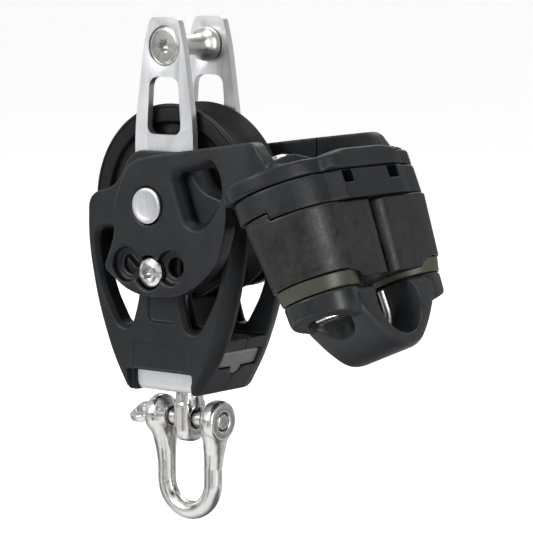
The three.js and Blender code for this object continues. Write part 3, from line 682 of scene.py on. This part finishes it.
def platform_slab():
    """The cleat's top plate in axle space."""
    ring = twin_outline(14.8, 15.6, 12, 2)
    slab = prism(ring, "z", PLATFORM_FOOT, PLATFORM_RIM, 0.6)
    crown = loft([
        (height, outline([(-10, -half, 3), (front, -half, 6), (front, half, 6), (-10, half, 3)]))
        for height, half, front in ((PLATFORM_FOOT + 0.7, 19, 15.5), (PLATFORM_RIM - 0.2, 18.5, 15.5),
                                    (PLATFORM_TOP - 0.4, 14, 15.5), (PLATFORM_TOP, 13, 14.8))
    ], "z")
    well = prism(inset(twin_outline(14.8, 12.4, 8.6, 2), 3.4), "z", PLATFORM_RIM - 1.6, REACH)
    ribs = [box([-9, 12], [y - 0.8, y + 0.8], [PLATFORM_FOOT + 1, PLATFORM_TOP - 0.6]) for y in (-6, 0, 6)]
    bosses = pivot_pair(6.6, PLATFORM_FOOT + 1, BOSS_TOP)
    web = outline([(-31, 9), (-29.5, 12.4, 2), (-21, 13.7, 3), (-13, 12, 2), (-11, 9)])
    gusset = prism(web, "x", 5.2, 7.4)
    slab = join(cut(join(slab, crown), well), *ribs, *bosses, mirrored(gusset), gusset)
    cut(slab, *pivot_pair(SCREW_BORE, -REACH, REACH))
    slab.data.transform(AXLE.inverted() @ CLEAT)
    return slab


def arms_and_platform():
    near = arm_and_wall()
    far = mirrored(near)
    whole = join(platform_slab(), near, far)
    return moulded(whole, 0.4, 3, 1)


whole = arms_and_platform()
for place, side in SIDES:
    half = box([-REACH, SEAM_X], [-REACH, 0] if side < 0 else [0, REACH], [-REACH, REACH])
    arm = clip(copy(whole), half)
    seam = box([SEAM_X - 0.4, REACH], [-23.2, 0], [-REACH, REACH])
    cut(arm, on_side(seam, side))
    detail(f"{place}_arm", arm, angle=50)
platform = clip(whole, box([SEAM_X, 90], [-REACH, REACH], [-REACH, REACH]))
detail("cleat_platform", platform, angle=50)

for place, side in SIDES:
    at = (0, 0, ARM_SCREW_Z)
    screw = turned("y", [
        (0, -18.9), (2.9, -18.75, 0.8), (4.5, -17.7, 0.5), (4.5, -16.8), (2.2, -16.8),
        (2.2, -8.9, 0.4), (0, -8.9),
    ], 64, at)
    cut(screw, prism(star(2.3, (0, ARM_SCREW_Z)), "y", -REACH, -17.2))
    detail(f"arm_screw_{place}", on_side(screw, side), angle=28)


# ---- cleat -----------------------------------------------------------------------------
def cleat_base():
    body = prism(twin_outline(14.2, 15.2, 10.5, 1), "z", -2.6, 5.6, 0.4)
    ports = [box([11, REACH], [y - 2.3, y + 2.3], [1.9, 5.4]) for y in (-10.5, 10.5)]
    shoulder = cut(box([-REACH, 1.8], [-REACH, REACH], [-3, -0.5]), *pivot_pair(12, -REACH, REACH))
    cut(body, *ports, shoulder, *pivot_pair(SCREW_BORE, -REACH, REACH))
    return moulded(body, 0.32, 1, 0.4)


detail("cleat_base", cleat_base(), CLEAT, 50)

CAM_R = 13.9
CAM_NOSE = 18.5
CAM_TOP = -2.9
CAM_FOOT = -21
CAM_SKIRT = -23.8
CAM_TAPER = 0.12


def cam_outline():
    """Seen from above with the nose towards +u; v runs from the back to the front."""
    points = [Vector((CAM_R * cos(radians(a)), CAM_R * sin(radians(a)))) for a in range(90, 271, 6)]
    points.append(Vector((9, -CAM_R)))
    teeth = 4
    for k in range(teeth * 2 + 1):
        angle = -0.6 + 0.6 * k / (teeth * 2)
        radius = CAM_NOSE - (0.8 if k % 2 else 0.0)
        points.append(Vector((radius * cos(angle), radius * sin(angle))))
    for k in range(1, 8):
        points.append(Vector((CAM_NOSE - (0.8 if k % 2 else 0.0), 1.4 * k)))
    corner = ((18.2, 11.2), (17.6, 12.4), (16.7, 13.2), (15.5, 13.7), (14, CAM_R))
    points += [Vector(point) for point in corner]
    return points


def cam(side):
    shape = [Vector((v, u)) for u, v in cam_outline()]
    low = [Vector((v * (1 - CAM_TAPER), CAM_NOSE + (u - CAM_NOSE) * (1 - 0.45 * CAM_TAPER)))
           for v, u in shape]
    barrel = loft([(CAM_TOP, shape), (CAM_SKIRT, low)], "z")
    cut(
        barrel,
        turned("z", [(0, -REACH), (11.35, -REACH), (11.35, CAM_SKIRT), (11.9, CAM_FOOT), (0, CAM_FOOT)]),
        prism(outline([
            (-REACH, CAM_FOOT), (-1, CAM_FOOT, 2), (5, CAM_FOOT - 1.9, 2), (7, -30), (-REACH, -30),
        ]), "x", -REACH, REACH),
        rod("z", 6.1, -REACH, REACH),
        rod("z", 9.6, -14, REACH),
    )
    rim = rod("z", CAM_R - 0.1, CAM_TOP - 1, -0.8, sides=96)
    cut(rim, rod("z", 12.3, -REACH, REACH, sides=96))
    join(barrel, clip(rim, box([-REACH, 1.5], [-REACH, 0], [-REACH, REACH])))
    moulded(barrel, 0.36, 2, 0.5)
    barrel.data.transform(Matrix.Translation((0, -CAM_Y, 0)))
    return on_side(barrel, side)


WIRE_R = 1.1
EYE_Z = -31.5
EYE_R = 8


def wire_path(side_count=24):
    path = [(0, -EYE_R, -26.6), (0, -EYE_R, -29)]
    path += [(0, EYE_R * cos(pi + pi * k / side_count), EYE_Z + EYE_R * sin(pi + pi * k / side_count))
             for k in range(side_count + 1)]
    return path + [(0, EYE_R, -29), (0, EYE_R, -26.6)]


for place, side in SIDES:
    at = (0, side * CAM_Y, 0)
    detail(f"cam_{place}", cam(side), CLEAT, 50)
    detail(f"cam_bush_{place}", turned("z", [
        (2.8, -21), (5.8, -21, 0.3), (5.8, -2.9, 0.3), (2.8, -2.9),
    ], 64, at), CLEAT)
    coil = [(7.9 * cos(2 * pi * t / 24), side * CAM_Y + 7.9 * sin(2 * pi * t / 24), -4 - 8 * t / 72)
            for t in range(73)]
    detail(f"cam_spring_{place}", tube(coil, 0.7, 10), CLEAT)
    detail(f"cam_cap_{place}", turned("z", [
        (2.8, -25.3), (10.9, -25.3, 0.4), (11.7, -21.3, 0.4), (2.8, -21.3),
    ], 96, at), CLEAT)
    screw = turned("z", [
        (0, NUT_FOOT), (2.5, NUT_FOOT, 0.4), (2.5, BOSS_TOP + 0.1), (4.6, BOSS_TOP + 0.1),
        (4.6, BOSS_TOP + 0.8, 0.5), (3, BOSS_TOP + 2, 1), (0, BOSS_TOP + 2.3),
    ], 64, at)
    cut(screw, prism(star(2.2, (0, side * CAM_Y)), "z", BOSS_TOP + 0.9, REACH))
    detail(f"cleat_screw_{place}", screw, CLEAT, 28)
    flange = []
    for k in range(96):
        tooth = 4.35 + (0.05 if k % 4 < 2 else -0.25)
        flange.append(Vector((tooth * cos(2 * pi * k / 96), side * CAM_Y + tooth * sin(2 * pi * k / 96))))
    hexagon = rod("z", 3.9, NUT_FOOT, NUT_TOP - 1, (0, side * CAM_Y), 6, 0.3)
    nut = join(prism(flange, "z", NUT_TOP - 1.1, NUT_TOP, 0.1), hexagon)
    cut(nut, rod("z", SCREW_BORE, -REACH, REACH, (0, side * CAM_Y)))
    detail(f"cleat_nut_{place}", nut, CLEAT)


def fairlead():
    foot, top, radius = -34, -25.6, 10.8
    lobe = turned("z", [
        (0, foot), (radius - 1.6, foot, 2.4), (radius - 0.2, foot + 3, 2), (radius, top), (0, top),
    ], 72, (0, -CAM_Y, 0))
    front = outline([(CAM_Y, top), (CAM_Y, -30), (17, -33.6, 2), (11.5, -39.6, 7), (4.5, -45, 6)], True, 10)
    chin = prism(front, "x", -radius, radius, 2.4)
    mouth = turned("x", [
        (0, -REACH), (9.8, -REACH), (9.8, -radius), (8.6, -8, 2), (EYE_R, -4.5, 2),
        (EYE_R, 4.5, 2), (8.6, 8, 2), (9.8, radius), (9.8, REACH), (0, REACH),
    ], 64, (0, 0, EYE_Z), 5)
    slot = box([-REACH, REACH], [-EYE_R, EYE_R], [EYE_Z, REACH])
    slope = box([-REACH, REACH], [-REACH, REACH], [-REACH, 0])
    slope.data.transform(Matrix.Translation((0, -CAM_Y, -32.9)) @ Matrix.Rotation(radians(-13), 4, "X"))
    cut(lobe, slope)
    body = join(lobe, mirrored(lobe), chin)
    seats = [rod("z", 5.2, -REACH, NUT_TOP + 0.3, (0, side * CAM_Y)) for _, side in SIDES]
    seats += [rod("z", 6.1, -REACH, -31.4, (0, side * CAM_Y)) for _, side in SIDES]
    cut(body, mouth, slot, tube(wire_path(), WIRE_R + 0.2), *pivot_pair(SCREW_BORE, -REACH, REACH), *seats)
    return moulded(body, 0.36, 4, 0.5)


detail("fairlead", fairlead(), CLEAT, 50)
detail("fairlead_wire", tube(wire_path(), WIRE_R), CLEAT).data.materials[0] = SATIN

# ---- swivel and shackle ----------------------------------------------------------------
PIN_Z = -63.3
ROD_R = 2.7
LEG_X = 8.7
BOW_Z = -81.9
EAR_IN = 6.2
EAR_OUT = 12.7


def oval(start, end, half, power=2):
    """A round-cornered section from start to end along x and half as wide as its y."""
    points = []
    for k in range(48):
        c, w = cos(2 * pi * k / 48), sin(2 * pi * k / 48)
        x = (start + end) / 2 + (end - start) / 2 * copysign(abs(c) ** (2 / power), c)
        points.append(Vector((x, half * copysign(abs(w) ** (2 / power), w))))
    return points


def swivel_post():
    shank = turned("z", [
        (0, -61), (3.8, -61), (3.8, -54.9, 0.3), (3, -54.9), (3, -49.2, 0.5), (0, -49.2),
    ], 64)
    shape = outline([(-5, -58, 1.4), (5, -58, 1.4), (5, -70.2, 5), (-5, -70.2, 5)], steps=8)
    eye = prism(shape, "x", -2.8, 2.8, 1.8)
    neck = loft([(-62.5, oval(-2.8, 2.8, 4.9, 3)), (-55.4, oval(-3, 3, 4.6, 2.6))], "z")
    post = join(shank, eye, neck)
    cut(post, turned("x", [
        (0, -REACH), (3.3, -REACH), (3.3, -3), (2.8, -2.2, 0.4), (2.8, 2.2, 0.4), (3.3, 3),
        (3.3, REACH), (0, REACH),
    ], 64, (0, 0, PIN_Z)))
    return moulded(post, 0.2, 12, 1)


detail("swivel_post", swivel_post(), angle=60)
nut = cut(rod("z", 5.4, -51.2, -49.4, sides=6, edge=0.3), rod("z", 3.3, -REACH, 0))
detail("swivel_nut", nut)
detail("swivel_washer", turned("z", [
    (3.4, -52.1, 0.2), (6.8, -52.1, 0.2), (6.8, -51.5, 0.2), (3.4, -51.5, 0.2),
]))


def shackle_bow():
    top = PIN_Z - 3
    path = [(-LEG_X, 0, top), (-LEG_X, 0, -74)]
    path += [(LEG_X * cos(pi + pi * k / 32), 0, BOW_Z + LEG_X * sin(pi + pi * k / 32)) for k in range(33)]
    path += [(LEG_X, 0, -74), (LEG_X, 0, top)]
    bow = tube(path, ROD_R, 32)
    ear = turned("x", [
        (0, EAR_IN), (3.4, EAR_IN, 0.8), (6.1, EAR_IN + 2.4, 2.2), (6.1, EAR_OUT - 0.9, 0.4),
        (5.5, EAR_OUT, 0.4), (0, EAR_OUT),
    ], 64, (0, 0, PIN_Z))
    shoulder = loft([
        (PIN_Z - 1, oval(EAR_IN + 0.6, EAR_OUT, 5.9, 2.8)), (-67, oval(EAR_IN + 0.5, EAR_OUT, 4.8, 2.8)),
        (-69.8, oval(EAR_IN + 0.2, EAR_OUT - 0.3, 3.6, 2.6)), (-73, oval(EAR_IN, EAR_OUT - 0.8, 3, 2.4)),
        (-79, oval(LEG_X - ROD_R + 0.2, LEG_X + ROD_R - 0.2, ROD_R - 0.2)),
    ], "z")
    join(bow, mirrored(ear, "X"), mirrored(shoulder, "X"), ear, shoulder)
    cut(bow, rod("x", 2.75, -REACH, REACH, (0, PIN_Z)))
    return moulded(bow, 0.26, 8, 1)


detail("shackle_bow", shackle_bow(), angle=60)


def shackle_pin():
    shaft = turned("x", [
        (0, -14.9), (2.4, -14.9, 0.5), (3.8, -14, 0.5), (3.8, -13, 0.3), (2.5, -13), (2.5, 12.2, 0.3),
        (2.1, 12.7, 0.2), (0, 12.7),
    ], 64, (0, 0, PIN_Z))
    wing = prism(outline([
        (-13.4, -2, 1), (-15.6, -4.4, 2), (-20.6, -4.2, 3.6), (-20.6, 4.2, 3.6), (-15.6, 4.4, 2),
        (-13.4, 2, 1),
    ], steps=8), "z", -1.2, 1.2, 0.6)
    cut(wing, rod("z", 1.8, -REACH, REACH, (-17.6, 0)))
    wing.data.transform(Matrix.Translation((0, 0, PIN_Z)) @ Matrix.Rotation(radians(25), 4, "X"))
    return moulded(join(shaft, wing), 0.2, 3, 0.5)


detail("shackle_pin", shackle_pin(), angle=60)


# ---- studio ----------------------------------------------------------------------------
def studio_room():
    """A pale room with darker and lighter walls, so that polished metal has something to reflect."""
    world = bpy.data.worlds.new("studio")
    world.use_nodes = True
    tree = world.node_tree
    background = tree.nodes["Background"]
    direction = tree.nodes.new("ShaderNodeTexCoord")
    walls = tree.nodes.new("ShaderNodeTexNoise")
    walls.inputs["Scale"].default_value = 2.4
    walls.inputs["Detail"].default_value = 1
    tree.links.new(direction.outputs["Generated"], walls.inputs["Vector"])
    tone = tree.nodes.new("ShaderNodeMapRange")
    for key, number in (("From Min", 0.44), ("From Max", 0.55), ("To Min", 0.08), ("To Max", 1.1)):
        tone.inputs[key].default_value = number
    tree.links.new(walls.outputs["Fac"], tone.inputs["Value"])
    seen = tree.nodes.new("ShaderNodeLightPath")
    mix = tree.nodes.new("ShaderNodeMix")
    tree.links.new(seen.outputs["Is Camera Ray"], mix.inputs["Factor"])
    tree.links.new(tone.outputs["Result"], mix.inputs["A"])
    mix.inputs["B"].default_value = 0.9
    tree.links.new(mix.outputs["Result"], background.inputs["Color"])
    background.inputs["Strength"].default_value = 1
    return world


def studio():
    corners = [(-20, -20, 0), (20, -20, 0), (20, 20, 0), (-20, 20, 0)]
    floor = new_object("studio_floor", corners, [(0, 1, 2, 3)])
    floor.location.z = -0.2
    n = Nodes("pale_floor")
    seen = n.tree.nodes.new("ShaderNodeLightPath")
    reflected = n.mix(n.spread(n.noise(4, 1), 0.42, 0.58), (0.12, 0.12, 0.12), (0.9, 0.9, 0.9))
    n.link(n.mix(seen.outputs["Is Camera Ray"], reflected, (0.9, 0.9, 0.9)), n.shader.inputs["Base Color"])
    n.shader.inputs["Roughness"].default_value = 0.9
    n.shader.inputs["Emission Color"].default_value = (1, 1, 1, 1)
    n.link(n.maths("MULTIPLY", seen.outputs["Is Camera Ray"], 0.35), n.shader.inputs["Emission Strength"])
    floor.data.materials.append(n.material)

    bpy.context.scene.view_settings.view_transform = "Standard"
    bpy.context.scene.world = studio_room()

    aim = Vector((0.015, 0, -0.055))
    for azimuth, elevation, distance, size, power in (
        (-24, 28, 1.1, 0.45, 9), (84, 12, 1.0, 0.2, 6), (205, 45, 1.2, 0.8, 4), (40, 80, 1.2, 0.6, 4),
    ):
        light = bpy.data.lights.new("softbox", "AREA")
        light.shape = "RECTANGLE"
        light.size = size
        light.size_y = max(size, 0.7)
        light.energy = power
        lamp = bpy.data.objects.new("softbox", light)
        a, e = radians(azimuth), radians(elevation)
        lamp.location = aim + Vector((sin(a) * cos(e), -cos(a) * cos(e), sin(e))) * distance
        lamp.rotation_euler = (aim - lamp.location).to_track_quat("-Z", "Y").to_euler()
        bpy.context.scene.collection.objects.link(lamp)


studio()

camera = bpy.data.cameras.new("camera")
camera.sensor_width = 36
camera.lens = 189.6
camera.clip_end = 60
viewer = bpy.data.objects.new("camera", camera)
viewer.location = (0.5123, -0.6240, 0.0285)
viewer.rotation_euler = Vector((-0.6089, 0.7850, -0.1139)).to_track_quat("-Z", "Y").to_euler()
bpy.context.scene.collection.objects.link(viewer)
bpy.context.scene.camera = viewer
